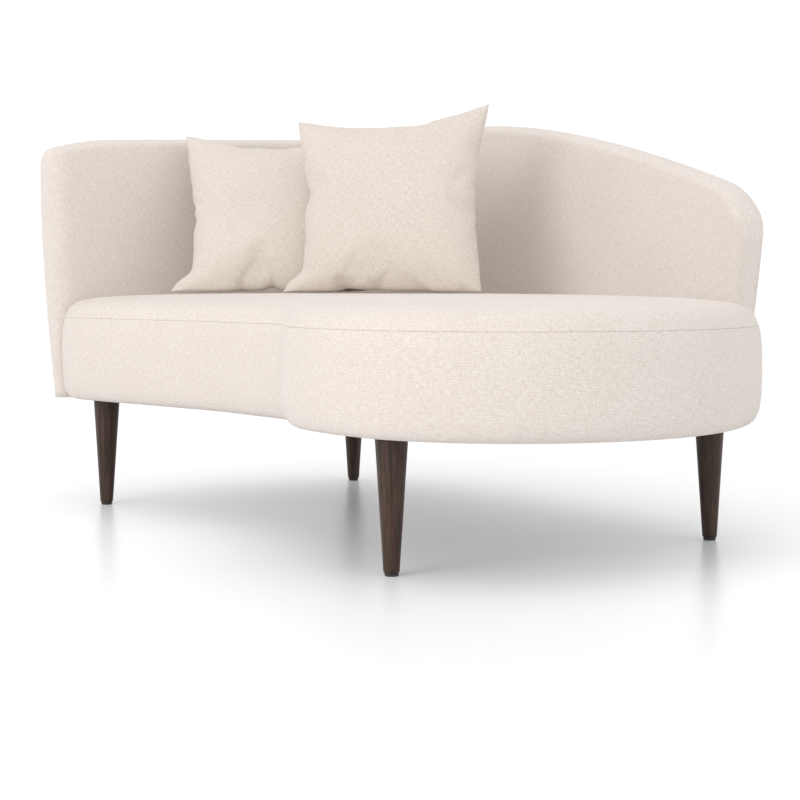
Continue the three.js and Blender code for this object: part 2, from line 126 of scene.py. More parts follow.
def face_outwards(obj):
    bm = bmesh.new()
    bm.from_mesh(obj.data)
    bmesh.ops.recalc_face_normals(bm, faces=bm.faces)
    bm.to_mesh(obj.data)
    bm.free()


def ring_faces(rows, cols):
    """Quads between closed rings of points."""
    faces = []
    for r in range(rows - 1):
        for c in range(cols):
            d = (c + 1) % cols
            faces.append((r * cols + c, r * cols + d, (r + 1) * cols + d, (r + 1) * cols + c))
    return faces


def ring_uvs(points, rows, cols):
    """Cloth coordinates in metres: along each ring, and across the rings."""
    across = [0.0] * cols
    table = []
    for r in range(rows):
        along, row = 0.0, []
        for c in range(cols + 1):
            k = r * cols + c % cols
            if c:
                along += (points[k] - points[r * cols + c - 1]).length
            if r and c < cols:
                across[c] += (points[k] - points[k - cols]).length
            row.append((along, across[c % cols]))
        table.append(row)
    return [[table[r][c], table[r][c + 1], table[r + 1][c + 1], table[r + 1][c]]
            for r in range(rows - 1) for c in range(cols)]


def thicken(obj, depth):
    mod = obj.modifiers.new("cloth", "SOLIDIFY")
    mod.thickness = depth
    mod.offset = -1
    mod.use_rim = True


def roll_edges(obj, depth, reach, keep):
    """Turns the open edges of a piece inwards, as at a sewn seam."""
    bm = bmesh.new()
    bm.from_mesh(obj.data)
    bm.normal_update()
    edge = [v for v in bm.verts if v.is_boundary and keep(v.co)]
    for v in edge:
        v.co -= v.normal * depth
    ring = {n for v in edge for e in v.link_edges for n in e.verts} - set(edge)
    for v in ring:
        v.co -= v.normal * depth * reach
    bm.to_mesh(obj.data)
    bm.free()


# ------------------------------------------------------------------ seat
def curve_span(p0, p1, p2, p3, steps):
    """Points from p1 up to p2 on the centripetal curve through all four."""
    d0, d1, d2 = (max((b - a).length, 1e-6) ** 0.5 for a, b in ((p0, p1), (p1, p2), (p2, p3)))
    t1 = ((p1 - p0) / d0 - (p2 - p0) / (d0 + d1) + (p2 - p1) / d1) * d1
    t2 = ((p2 - p1) / d1 - (p3 - p1) / (d1 + d2) + (p3 - p2) / d2) * d1
    out = []
    for k in range(steps):
        t = k / steps
        out.append(p1 * (2 * t ** 3 - 3 * t ** 2 + 1) + t1 * (t ** 3 - 2 * t ** 2 + t)
                   + p2 * (-2 * t ** 3 + 3 * t ** 2) + t2 * (t ** 3 - t ** 2))
    return out


def closed_curve(points, steps):
    """Closed curve through points in millimetres, at equal distances."""
    pts = [Vector(p) / 1000 for p in points]
    fine = []
    for i in range(len(pts)):
        fine += curve_span(*(pts[(i + k) % len(pts)] for k in (-1, 0, 1, 2)), CURVE_STEPS)
    lengths = [0.0]
    for a, b in zip(fine, fine[1:] + fine[:1]):
        lengths.append(lengths[-1] + (b - a).length)
    out, j = [], 0
    for k in range(steps):
        goal = lengths[-1] * k / steps
        while lengths[j + 1] < goal:
            j += 1
        f = (goal - lengths[j]) / (lengths[j + 1] - lengths[j])
        out.append(fine[j].lerp(fine[(j + 1) % len(fine)], f))
    return out


OUTLINE = closed_curve(SEAT_ANCHORS, SEAT_COLS)


def inner_face(z):
    """How far the back's inner face leans out from its line in plan."""
    return INNER_FOOT + INNER_LEAN * (z - INNER_Z)


def outer_face(z):
    """The same for the outer face, which bows."""
    return OUTER_FOOT + OUTER_BOW * math.sin(math.pi / 2 * min(max((z - OUTER_Z) / OUTER_RISE, 0), 1))


def rounding(d, r):
    """Height lost at distance d from an edge rounded to radius r."""
    return 0.0 if d >= r else r - math.sqrt(max(0.0, r * r - (r - d) ** 2))


def against_back(x, y, z):
    """Keeps a seat point on the seat's side of the back's inner face."""
    if y < HEAD_FRONT_Y or x > FOOT_X:
        return x, y
    limit = inner_face(z) - SEAT_GAP
    cx, cy = HEAD_X + CORNER_R, REAR_Y - CORNER_R
    if x < cx and y > cy:
        d = Vector((x - cx, y - cy))
        if d.length > CORNER_R + limit:
            d *= (CORNER_R + limit) / d.length
        return cx + d.x, cy + d.y
    if x < cx:
        grip = rounding((y - HEAD_FRONT_Y) * END_R / HEAD_ROLL, END_R)
        return max(x, HEAD_X - limit - grip), y
    grip = rounding(FOOT_X - x, END_R)
    return x, min(y, REAR_Y + limit + grip)


def seat_ring(inset, z):
    """The seat's outline drawn in by inset, at one height."""
    offset = min(inset, EDGE_OFFSET)
    scale = 1 - (inset - offset) / SEAT_HALF
    ring, n = [], len(OUTLINE)
    for i, p in enumerate(OUTLINE):
        along = (OUTLINE[(i + 1) % n] - OUTLINE[i - 1]).normalized()
        q = p + Vector((-along.y, along.x)) * offset
        q = SEAT_MIDDLE + (q - SEAT_MIDDLE) * scale
        ring.append(Vector((*against_back(q.x, q.y, z), z)))
    return ring


def smooth_profile(points):
    """Open curve through the points of a section."""
    pts = [Vector(p) for p in points]
    ends = [pts[0] * 2 - pts[1], *pts, pts[-1] * 2 - pts[-2]]
    out = []
    for i in range(1, len(ends) - 2):
        out += curve_span(*ends[i - 1:i + 3], PROFILE_STEPS)
    out.append(pts[-1])
    return out


def seat_cover(name, profile, lid):
    """A cover round the seat from a section of (inset, height) in millimetres."""
    rows = [seat_ring(inset / 1000, z / 1000) for inset, z in smooth_profile(profile)]
    points = [p + SHIFT for row in rows for p in row]
    cols = len(OUTLINE)
    faces = ring_faces(len(rows), cols)
    uvs = ring_uvs(points, len(rows), cols)
    if lid:
        last = (len(rows) - 1) * cols
        points.append(sum(points[last:], Vector()) / cols)
        for c in range(cols):
            tri = (last + c, last + (c + 1) % cols, len(points) - 1)
            faces.append(tri)
            uvs.append([tuple(points[k][:2]) for k in tri])
    obj = new_object(name, points, faces, uvs)
    face_outwards(obj)
    return obj


def unroll_uvs(obj):
    """Cloth coordinates of the top panel: its plan, unrolled past its rounded rim."""
    cols = len(OUTLINE)
    verts = [v.co for v in obj.data.vertices]
    flat = [Vector(co[:2]) for co in verts]
    first = next(r for r in range(len(verts) // cols) if verts[r * cols].z > FLAT_TOP_Z)
    for c in range(cols):
        outward = (flat[c] - flat[first * cols + c]).normalized()
        for r in range(first - 1, -1, -1):
            k = r * cols + c
            flat[k] = flat[k + cols] + outward * (verts[k] - verts[k + cols]).length
    layer = obj.data.uv_layers.active
    for loop in obj.data.loops:
        layer.data[loop.index].uv = flat[loop.vertex_index]


border = seat_cover("seat_border", [
    (46, 228.6), (40, 227.0), (32, 226.2), (22, 227.8), (13, 234), (6.6, 246), (2.4, 267), (0.4, 300),
    (0, 328), (0.4, 356), (1.8, 378), (4.2, 392), (5.5, 397.2), (6.1, 399.2), (6.6, 399.8), (7.6, 399.92),
], lid=False)
top = seat_cover("seat_top_panel", [
    (7.6, 400.02), (6.8, 400.15), (6.5, 400.8), (6.9, 402.8), (9.4, 409), (14.2, 418.5), (22, 427), (34, 434),
    (56, 440.5), (95, 445.5), (150, 449), (230, 451.5), (330, 453),
], lid=True)
unroll_uvs(top)


# ------------------------------------------------------------------ back
def back_point(s, w, z):
    """Point at distance s along the back from its head end, w outside its line."""
    if s < HEAD_RUN:
        return Vector((HEAD_X - w, HEAD_FRONT_Y + s, z))
    if s < HEAD_RUN + CORNER_RUN:
        a = (s - HEAD_RUN) / CORNER_R
        r = CORNER_R + w
        return Vector((HEAD_X + CORNER_R - r * math.cos(a), REAR_Y - CORNER_R + r * math.sin(a), z))
    return Vector((HEAD_X + CORNER_R + s - HEAD_RUN - CORNER_RUN, REAR_Y + w, z))


def back_top(s):
    """Height of the top edge: up from the head end, then falling to the foot end."""
    peak = HEAD_RUN + CORNER_RUN + PEAK_PAST_CORNER
    if s < peak:
        dip = HEAD_DIP * max(0, 1 - s / HEAD_DIP_RUN) ** 2
        return HEAD_TOP_Z + (PEAK_Z - HEAD_TOP_Z) * (max(s, 0) / peak) ** 0.9 - dip
    return PEAK_Z - FOOT_FALL * ((s - peak) / FALL_RUN) ** 1.6


def end_drop(s):
    """What the rounded ends take off the top edge's height."""
    return rounding(s, HEAD_DROP_R) + rounding(RUN - s, FOOT_DROP_R)


def end_pinch(s):
    """What the rounded ends take off each face."""
    return rounding(s * END_R / HEAD_ROLL, END_R) + rounding(RUN - s, END_R)


def back_section(s):
    """Section points from the inner foot over the top to the outer foot, and
    the index of the seam on the outside face."""
    full = back_top(s) - end_drop(s) - RIM
    pinch = end_pinch(s)
    seam_z = full + RIM - SEAM_DROP
    points = []
    for k in range(IN_STEPS + 1):
        z = BASE_Z + (full - BASE_Z) * k / IN_STEPS
        points.append((inner_face(z) + pinch, z))
    wi, wo = inner_face(full) + pinch, outer_face(full) - pinch
    for k in range(1, ARC_STEPS):
        a = math.pi * k / ARC_STEPS
        points.append(((wi + wo) / 2 - (wo - wi) / 2 * math.cos(a), full + RIM * math.sin(a)))
    for k in range(SEAM_STEPS + 1):
        z = full + (seam_z - full) * k / SEAM_STEPS
        points.append((outer_face(z) - pinch, z))
    seam = len(points) - 1
    for k in range(1, OUT_STEPS + 1):
        z = seam_z + (BASE_Z - seam_z) * k / OUT_STEPS
        points.append((outer_face(z) - pinch, z))
    return points, seam


def back_stations():
    """Distances along the back at which it has a section."""
    stops = [HEAD_ROLL * (1 - math.cos(math.pi / 2 * k / END_STEPS)) for k in range(END_STEPS + 1)]
    stops += [HEAD_ROLL + (HEAD_RUN - HEAD_ROLL) * k / HEAD_STEPS for k in range(1, HEAD_STEPS + 1)]
    stops += [HEAD_RUN + CORNER_RUN * k / CORNER_STEPS for k in range(1, CORNER_STEPS + 1)]
    start, end = HEAD_RUN + CORNER_RUN, RUN - FOOT_SEAM
    stops += [start + (end - start) * k / REAR_STEPS for k in range(1, REAR_STEPS + 1)]
    stops += [RUN - FOOT_DROP_R * (1 - math.cos(math.pi / 2 * k / END_STEPS))
              for k in range(END_STEPS, -1, -1)]
    return stops


def make_back():
    """The back's two covers: inside with the top and ends, and the outside panel."""
    stops = back_stations()
    first = next(i for i, s in enumerate(stops) if abs(s - HEAD_ROLL) < 1e-9)
    last = next(i for i, s in enumerate(stops) if abs(s - (RUN - FOOT_SEAM)) < 1e-9)
    rows, seam = [], 0
    for s in stops:
        section, seam = back_section(s)
        rows.append([back_point(s, w, z) + SHIFT for w, z in section])
    cols = len(rows[0])
    faces = {"inside": [], "outside": []}
    across = []
    for row in rows:
        total = [0.0]
        for a, b in zip(row, row[1:]):
            total.append(total[-1] + (b - a).length)
        across.append([t - total[seam] for t in total])
    middle = IN_STEPS // 2
    length = [0.0]
    for a, b in zip(rows, rows[1:]):
        length.append(length[-1] + (b[middle] - a[middle]).length)
    points = [p for row in rows for p in row]
    uv = {r * cols + c: (length[r], across[r][c]) for r in range(len(rows)) for c in range(cols)}
    corner_uvs = {zone: [] for zone in faces}
    for r in range(len(rows) - 1):
        for c in range(cols - 1):
            zone = "outside" if first <= r < last and c >= seam else "inside"
            quad = (r * cols + c, r * cols + c + 1, (r + 1) * cols + c + 1, (r + 1) * cols + c)
            faces[zone].append(quad)
            corner_uvs[zone].append([uv[v] for v in quad])
    for r, way in ((0, -1), (len(rows) - 1, 1)):
        for c in range((cols - 1) // 2):
            d = cols - 1 - c
            strip = (c, c + 1, d - 1, d) if d - 1 > c + 1 else (c, c + 1, d)
            faces["inside"].append(tuple(r * cols + k for k in strip))
            corner_uvs["inside"].append([
                (length[r] + way * (rows[r][k] - rows[r][min(k, cols - 1 - k)]).length, rows[r][k].z)
                for k in strip])
    made = {}
    for zone, quads in faces.items():
        used = sorted({v for q in quads for v in q})
        index = {v: i for i, v in enumerate(used)}
        obj = new_object("back_" + zone, [points[v] for v in used],
                         [tuple(index[v] for v in q) for q in quads],
                         corner_uvs[zone])
        face_outwards(obj)
        made[zone] = obj
    return made


back = make_back()


# ------------------------------------------------------------------ pillows
# Middle, turn, lean and roll in degrees, noise seed, top dip, and in millimetres how far each corner is
# pulled: upper left, upper right, lower left, lower right.
PILLOWS = {
    "left": ((-0.361, 0.004, 0.631), 50, 35, 1, 11, 0.010, ((-20, 22), (14, 6), (-8, -8), (0, -6))),
    "right": ((-0.080, 0.101, 0.656), 40, 22, 2, 29, 0.022, ((-4, -10), (2, 4), (-6, -8), (4, -12))),
}
PILLOW_HALF = 0.208
PILLOW_CUT = 0.228               # half the side of each flat panel
PILLOW_SPREAD = 0.003            # what the filled pillow adds to its half width
PILLOW_THICK = 0.058
PANEL_CELLS = 44
SINK = 0.007
BLOW_FRAMES, BLOW_PRESSURE = 26, 5.0
BLOWN_SHARE = 0.55
FOOT_DROP = 0.038
EAR_TUCK, EAR_OUT = 0.028, 0.025
EAR_GATHER, EAR_FOLDS = 0.0032, 13
FOOT_SOFT, FOOT_REACH = 0.006, 0.012
FOOT_GAP = 0.0018


def pillow_cloth(name, seed):
    """Two square panels sewn round the edge, to be blown up like a stuffed cushion."""
    n, size = PANEL_CELLS, PILLOW_CUT
    bm = bmesh.new()
    sides = []
    for side in (1, -1):
        table = []
        for j in range(n + 1):
            row = []
            for i in range(n + 1):
                u, v = 2 * i / n - 1, 2 * j / n - 1
                rim = abs(u) > 0.999 or abs(v) > 0.999
                if side < 0 and rim:
                    row.append(sides[0][j][i])
                    continue
                lift = 0.012 * (1 - u ** 2) * (1 - v ** 2)
                rough = 0.004 * noise.noise(Vector((u * 3, v * 3, seed + side)))
                row.append(bm.verts.new((u * size, v * size, side * (lift + (0 if rim else 0.001)) + rough)))
            table.append(row)
        sides.append(table)
    for side, table in zip((1, -1), sides):
        for j in range(n):
            for i in range(n):
                quad = [table[j][i], table[j][i + 1], table[j + 1][i + 1], table[j + 1][i]]
                bm.faces.new(quad if side > 0 else quad[::-1])
    layer = bm.loops.layers.uv.new("UVMap")
    for face in bm.faces:
        for loop in face.loops:
            loop[layer].uv = (loop.vert.co.x + size, loop.vert.co.y + size)
    mesh = bpy.data.meshes.new(name)
    bm.to_mesh(mesh)
    bm.free()
    return add_object(name, mesh)


def inflate(obj):
    """Blows the panels up with the cloth solver, and keeps the last frame as the mesh."""
    mod = obj.modifiers.new("cloth", "CLOTH")
    cloth = mod.settings
    cloth.quality = 6
    cloth.mass = 0.25
    cloth.tension_stiffness = 25
    cloth.compression_stiffness = 12
    cloth.shear_stiffness = 8
    cloth.bending_stiffness = 0.8
    cloth.tension_damping = 8
    cloth.compression_damping = 8
    cloth.air_damping = 3
    cloth.use_pressure = True
    cloth.uniform_pressure_force = BLOW_PRESSURE
    cloth.effector_weights.gravity = 0
    mod.point_cache.frame_start = 1
    mod.point_cache.frame_end = BLOW_FRAMES
    scene = bpy.context.scene
    for f in range(1, BLOW_FRAMES + 1):
        scene.frame_set(f)
    graph = bpy.context.evaluated_depsgraph_get()
    blown = bpy.data.meshes.new_from_object(obj.evaluated_get(graph))
    obj.modifiers.clear()
    old = obj.data
    obj.data = blown
    bpy.data.meshes.remove(old)
    scene.frame_set(1)


def plump(cut, half):
    """Plain stuffed-square shape that a point of the flat cut belongs to."""
    u, v = cut.x / PILLOW_CUT, cut.y / PILLOW_CUT
    swell = PILLOW_THICK * (max(0, 1 - u ** 4) * max(0, 1 - v ** 4)) ** 0.6
    return Vector((half * u * (1 - 0.02 * (1 - v * v)), half * v * (1 - 0.02 * (1 - u * u)),
                   math.copysign(swell, cut.z)))


def shape_pillow(obj, flat, half, share):
    """Mixes the blown cloth with the plain shape, and stands it heavier below."""
    blown = [v.co.copy() for v in obj.data.vertices]
    reach = max(max(abs(c.x), abs(c.y)) for c in blown)
    depth = max(abs(c.z) for c in blown)
    for v, c, cut in zip(obj.data.vertices, blown, flat):
        cloth = Vector((c.x * half / reach, c.y * half / reach, c.z * PILLOW_THICK / depth))
        p = plump(cut, half).lerp(cloth, share)
        v.co = (p.x, p.y, p.z * (1 - 0.18 * p.y / half))


def pull_corners(obj, pulls):
    """Draws each corner's ear in the pillow's own plane, in millimetres."""
    half = PILLOW_HALF
    corners = ((-1, 1), (1, 1), (-1, -1), (1, -1))
    for v in obj.data.vertices:
        at = v.co.copy()
        for (sx, sy), (dx, dy) in zip(corners, pulls):
            w = max(0, 1 + sx * at.x / half) / 2 * max(0, 1 + sy * at.y / half) / 2
            v.co += Vector((dx, dy, 0)) / 1000 * w ** 1.3


def tuck_ear(obj):
    """Draws the left edge in above the lower left corner, which stays out as a gathered ear."""
    for v in obj.data.vertices:
        u, w = v.co.x / PILLOW_HALF, v.co.y / PILLOW_HALF
        left = max(0, -u)
        v.co.x += EAR_TUCK * left ** 2 * math.exp(-((w + 0.72) / 0.475) ** 2)
        out = min(max((-w - 0.74) / 0.15, 0), 1)
        v.co.x -= EAR_OUT * left ** 3 * out * out * (3 - 2 * out)
        fan = math.atan2(w + 1.12, u + 1.12)
        v.co.z += EAR_GATHER * math.sin(fan * EAR_FOLDS) * math.exp(-(math.hypot(u + 1, w + 1) / 0.42) ** 2)


def settle_edges(obj, dip):
    """Lets both level edges of the pillow sag down between their corners."""
    half = PILLOW_HALF
    for v in obj.data.vertices:
        low, high = max(0, -v.co.y / half) ** 3, max(0, v.co.y / half) ** 3
        v.co.y -= (FOOT_DROP * low + dip * high) * max(0, 1 - (v.co.x / half) ** 2)


def place_pillow(obj, at, turn, lean, roll):
    matrix = (Matrix.Translation(Vector(at) + SHIFT - Vector((0, 0, SINK)))
              @ Matrix.Rotation(math.radians(turn), 4, "Z")
              @ Matrix.Rotation(math.pi / 2 - math.radians(lean), 4, "X")
              @ Matrix.Rotation(math.radians(roll), 4, "Z"))
    obj.data.transform(matrix)


def rest_on_seat(obj, floor):
    """Flattens the foot of a pillow where it sits on the seat."""
    for v in obj.data.vertices:
        gap = v.co.z - floor
        if gap < FOOT_SOFT:
            v.co.z = floor + FOOT_SOFT * math.exp((gap - FOOT_SOFT) / FOOT_REACH)


pillows = {}
for side, (at, turn, lean, roll, seed, dip, pulls) in PILLOWS.items():
    obj = pillow_cloth("pillow_" + side, seed)
    cut = [v.co.copy() for v in obj.data.vertices]
    inflate(obj)
    shape_pillow(obj, cut, PILLOW_HALF + PILLOW_SPREAD, BLOWN_SHARE)
    pull_corners(obj, pulls)
    tuck_ear(obj)
    settle_edges(obj, dip)
    place_pillow(obj, at, turn, lean, roll)
    rest_on_seat(obj, CROWN_Z + FOOT_GAP)
    sub = obj.modifiers.new("fine", "SUBSURF")
    sub.levels = sub.render_levels = 1
    pillows[side] = obj


# ------------------------------------------------------------------ legs
LEG_SIDES = 64
LEG_PROFILE = [(0.0104, 0.0053), (0.0118, 0.0055), (0.0130, 0.0064), (0.0134, 0.0078)]
LEG_PROFILE += [(0.0134 + 0.0141 * t, 0.0078 + 0.2180 * t) for t in (0.02, 0.2, 0.4, 0.6, 0.8, 0.99, 1.0)]
LEG_PROFILE += [(0.0268, 0.2268), (0.0255, 0.2270)]


def turned_leg(name, x, y):
    """A tapered round leg standing at x, y, with flat ends."""
    points = []
    for r, z in (Vector(p) for p in LEG_PROFILE):
        for k in range(LEG_SIDES):
            a = 2 * math.pi * k / LEG_SIDES
            points.append(Vector((x + r * math.cos(a), y + r * math.sin(a), z)))
    faces = ring_faces(len(LEG_PROFILE), LEG_SIDES)
    faces.append(tuple(range(LEG_SIDES)))
    faces.append(tuple(range(len(points) - LEG_SIDES, len(points))))
    obj = new_object(name, points, faces)
    face_outwards(obj)
    for poly in obj.data.polygons:
        poly.use_smooth = len(poly.vertices) == 4
    return obj


# ------------------------------------------------------------------ dust cover
DUST_INSET = 0.035
DUST_Z, DUST_SAG = 0.2277, 0.022
DUST_WAVE, DUST_RIPPLE = 0.009, 0.0012
HOLE_MARGIN, EDGE_MARGIN = 0.012, 0.015
PLATE_HALF = 0.0335              # half the side of each square hole
DUST_STEP = 0.028


def inside_ring(p, ring):
    """Whether a plan point lies inside a closed ring."""
    hits = False
    for a, b in zip(ring, ring[1:] + ring[:1]):
        if (a.y > p.y) != (b.y > p.y) and p.x < a.x + (p.y - a.y) * (b.x - a.x) / (b.y - a.y):
            hits = not hits
    return hits


def make_dust_cover():
    """Thin black cloth stapled under the frame, cut out round the leg plates."""
    ring = [Vector(p[:2]) for p in seat_ring(DUST_INSET, BASE_Z)][::2]
    wavy = []
    for i, p in enumerate(ring):
        inward = (SEAT_MIDDLE - p).normalized()
        wavy.append(p + inward * DUST_WAVE * noise.noise(Vector((i * 0.35, 3.1, 0))))
    coords, edges = list(wavy), [(i, (i + 1) % len(wavy)) for i in range(len(wavy))]
    half = PLATE_HALF
    holes = [Vector(spot) for spot in LEGS.values()]
    for spot in holes:
        first = len(coords)
        coords += [spot + Vector(c) * half for c in ((-1, -1), (1, -1), (1, 1), (-1, 1))]
        edges += [(first + k, first + (k + 1) % 4) for k in range(4)]
    step = DUST_STEP
    for i in range(-26, 34):
        for j in range(-18, 20):
            p = Vector((i * step + 0.5 * step * (j % 2), j * step))
            near_hole = any(max(abs(p.x - h.x), abs(p.y - h.y)) < half + HOLE_MARGIN for h in holes)
            near_edge = min((p - q).length for q in wavy) < EDGE_MARGIN
            if inside_ring(p, wavy) and not near_hole and not near_edge:
                coords.append(p)
    flat, _, tris, *_ = delaunay_2d_cdt(coords, edges, [], 0, 1e-6)
    kept = []
    for tri in tris:
        centre = sum((flat[k] for k in tri), Vector((0, 0))) / 3
        in_hole = any(max(abs(centre.x - h.x), abs(centre.y - h.y)) < half for h in holes)
        if inside_ring(centre, wavy) and not in_hole:
            kept.append(tuple(tri))
    area = sum(area_tri(*(flat[k] for k in tri)) for tri in kept)
    points = []
    for p in flat:
        slack = min(min((p - q).length for q in wavy), min((p - h).length for h in holes), 0.10)
        ripple = DUST_RIPPLE * noise.noise(Vector((p.x * 16, p.y * 16, 7.7)))
        z = DUST_Z - DUST_SAG * slack + ripple * min(1, slack / 0.03)
        points.append(Vector((p.x, p.y, z)) + SHIFT)
    used = sorted({k for tri in kept for k in tri})
    index = {k: i for i, k in enumerate(used)}
    obj = new_object("dust_cloth", [points[k] for k in used], [tuple(index[k] for k in t) for t in kept])
    xs, ys = [p.x for p in wavy], [p.y for p in wavy]
    return obj, (max(xs) - min(xs), max(ys) - min(ys)), area


dust_cloth, DUST_FLAT, DUST_AREA = make_dust_cover()

legs = {place: turned_leg("wooden_leg_" + place, x + SHIFT.x, y + SHIFT.y)
        for place, (x, y) in LEGS.items()}


# ------------------------------------------------------------------ materials
def material(name):
    mat = bpy.data.materials.new(name)
    mat.use_nodes = True
    mat.node_tree.nodes.clear()
    return mat, mat.node_tree


def math_node(tree, op, a, b=None):
    n = tree.nodes.new("ShaderNodeMath")
    n.operation = op
    for i, v in enumerate((a, b)):
        if v is None:
            continue
        if isinstance(v, (int, float)):
            n.inputs[i].default_value = v
        else:
            tree.links.new(v, n.inputs[i])
    return n.outputs[0]


def shader(tree, **values):
    bsdf = tree.nodes.new("ShaderNodeBsdfPrincipled")
    out = tree.nodes.new("ShaderNodeOutputMaterial")
    tree.links.new(bsdf.outputs[0], out.inputs[0])
    for key, value in values.items():
        bsdf.inputs[key.replace("_", " ")].default_value = value
    return bsdf


def noise_node(tree, vector, scale, detail=3.0, rough=0.55):
    n = tree.nodes.new("ShaderNodeTexNoise")
    n.inputs["Scale"].default_value = scale
    n.inputs["Detail"].default_value = detail
    n.inputs["Roughness"].default_value = rough
    tree.links.new(vector, n.inputs["Vector"])
    return n.outputs["Fac"]


def ramp(tree, fac, stops):
    n = tree.nodes.new("ShaderNodeValToRGB")
    ends = n.color_ramp.elements
    while len(ends) < len(stops):
        ends.new(0.5)
    for e, (pos, col) in zip(ends, stops):
        e.position = pos
        e.color = (*col, 1)
    tree.links.new(fac, n.inputs[0])
    return n.outputs[0]


def bump_node(tree, height, strength, distance, bsdf):
    n = tree.nodes.new("ShaderNodeBump")
    n.inputs["Strength"].default_value = strength
    n.inputs["Distance"].default_value = distance
    tree.links.new(height, n.inputs["Height"])
    tree.links.new(n.outputs[0], bsdf.inputs["Normal"])


def mix(tree, fac, a, b, blend="MIX"):
    n = tree.nodes.new("ShaderNodeMix")
    n.data_type = "RGBA"
    n.blend_type = blend
    for socket, v in ((n.inputs[0], fac), (n.inputs[6], a), (n.inputs[7], b)):
        if isinstance(v, (int, float)):
            socket.default_value = v
        elif isinstance(v, tuple):
            socket.default_value = (*v, 1)
        else:
            tree.links.new(v, socket)
    return n.outputs[2]


def woven(name, dark, mid, light, pitch):
    """Coarse plain weave with slubbed yarn, from cloth coordinates in metres, with painted shade darkening
    the grooves between the threads.
    """
    mat, tree = material(name)
    uv = tree.nodes.new("ShaderNodeUVMap")
    uv.uv_map = "UVMap"
    wobble = tree.nodes.new("ShaderNodeTexNoise")
    wobble.inputs["Scale"].default_value = 120
    tree.links.new(uv.outputs[0], wobble.inputs["Vector"])
    shift = tree.nodes.new("ShaderNodeVectorMath")
    shift.operation = "MULTIPLY_ADD"
    tree.links.new(wobble.outputs["Color"], shift.inputs[0])
    shift.inputs[1].default_value = (0.0009, 0.0009, 0)
    tree.links.new(uv.outputs[0], shift.inputs[2])
    sep = tree.nodes.new("ShaderNodeSeparateXYZ")
    tree.links.new(shift.outputs[0], sep.inputs[0])
    turn = math.pi / pitch
    a = math_node(tree, "SINE", math_node(tree, "MULTIPLY", sep.outputs[0], turn))
    b = math_node(tree, "SINE", math_node(tree, "MULTIPLY", sep.outputs[1], turn))
    over = math_node(tree, "GREATER_THAN", math_node(tree, "MULTIPLY", a, b), 0.0)
    warp = math_node(tree, "ABSOLUTE", a)
    weft = math_node(tree, "ABSOLUTE", b)
    height = math_node(tree, "ADD", math_node(tree, "MULTIPLY", over, warp),
                       math_node(tree, "MULTIPLY", math_node(tree, "SUBTRACT", 1.0, over), weft))
    tones = []
    for stretch in ((460, 95, 1), (95, 460, 1)):
        scaled = tree.nodes.new("ShaderNodeVectorMath")
        scaled.operation = "MULTIPLY"
        tree.links.new(uv.outputs[0], scaled.inputs[0])
        scaled.inputs[1].default_value = stretch
        tones.append(noise_node(tree, scaled.outputs[0], 1.0, 2.0))
    slub = math_node(tree, "ADD", math_node(tree, "MULTIPLY", over, tones[0]),
                     math_node(tree, "MULTIPLY", math_node(tree, "SUBTRACT", 1.0, over), tones[1]))
    cloud = noise_node(tree, uv.outputs[0], 7, 3.0)
    fleck = noise_node(tree, uv.outputs[0], 620, 1.0, 0.4)
    yarn = ramp(tree, slub, [(0.24, dark), (0.50, mid), (0.78, light)])
    flecked = mix(tree, ramp(tree, fleck, [(0.64, (0, 0, 0)), (0.74, (0.7, 0.7, 0.7))]), yarn, light)
    # Painted shade: the yarn colour is darkened down into the weave's low grooves between threads.
    painted_groove_shade = ramp(tree, height, [(0.0, (0.86, 0.85, 0.84)), (0.7, (1, 1, 1))])
    fading = ramp(tree, cloud, [(0.3, (0.975, 0.97, 0.965)), (0.7, (1, 1, 1))])
    shade = mix(tree, 1.0, flecked, painted_groove_shade, "MULTIPLY")
    colour = mix(tree, 1.0, shade, fading, "MULTIPLY")
    bsdf = shader(tree, Roughness=0.95, Sheen_Weight=0.35, Sheen_Roughness=0.45, Specular_IOR_Level=0.15)
    bsdf.inputs["Sheen Tint"].default_value = (1.0, 0.97, 0.94, 1)
    tree.links.new(colour, bsdf.inputs["Base Color"])
    rise = math_node(tree, "ADD", height, math_node(tree, "MULTIPLY", slub, 1.2))
    bump_node(tree, rise, 0.5, 0.0009, bsdf)
    return mat


def wooden(name, dark, light, grain, rough):
    """Open-grained wood; the grain runs along the axis with the smallest scale."""
    mat, tree = material(name)
    coords = tree.nodes.new("ShaderNodeTexCoord")
    mapping = tree.nodes.new("ShaderNodeMapping")
    mapping.inputs["Scale"].default_value = grain
    tree.links.new(coords.outputs["Object"], mapping.inputs[0])
    figure = noise_node(tree, mapping.outputs[0], 4.0, 6.0, 0.62)
    fine = noise_node(tree, mapping.outputs[0], 22.0, 3.0, 0.6)
    tone = math_node(tree, "ADD", math_node(tree, "MULTIPLY", figure, 0.65),
                     math_node(tree, "MULTIPLY", fine, 0.35))
    colour = ramp(tree, tone, [(0.36, dark), (0.62, light)])
    bsdf = shader(tree, Roughness=rough, Specular_IOR_Level=0.30, Coat_Weight=0.05, Coat_Roughness=0.4)
    tree.links.new(colour, bsdf.inputs["Base Color"])
    gloss = math_node(tree, "ADD", math_node(tree, "MULTIPLY", fine, 0.30), rough - 0.12)
    tree.links.new(gloss, bsdf.inputs["Roughness"])
    bump_node(tree, fine, 0.35, 0.0006, bsdf)
    return mat


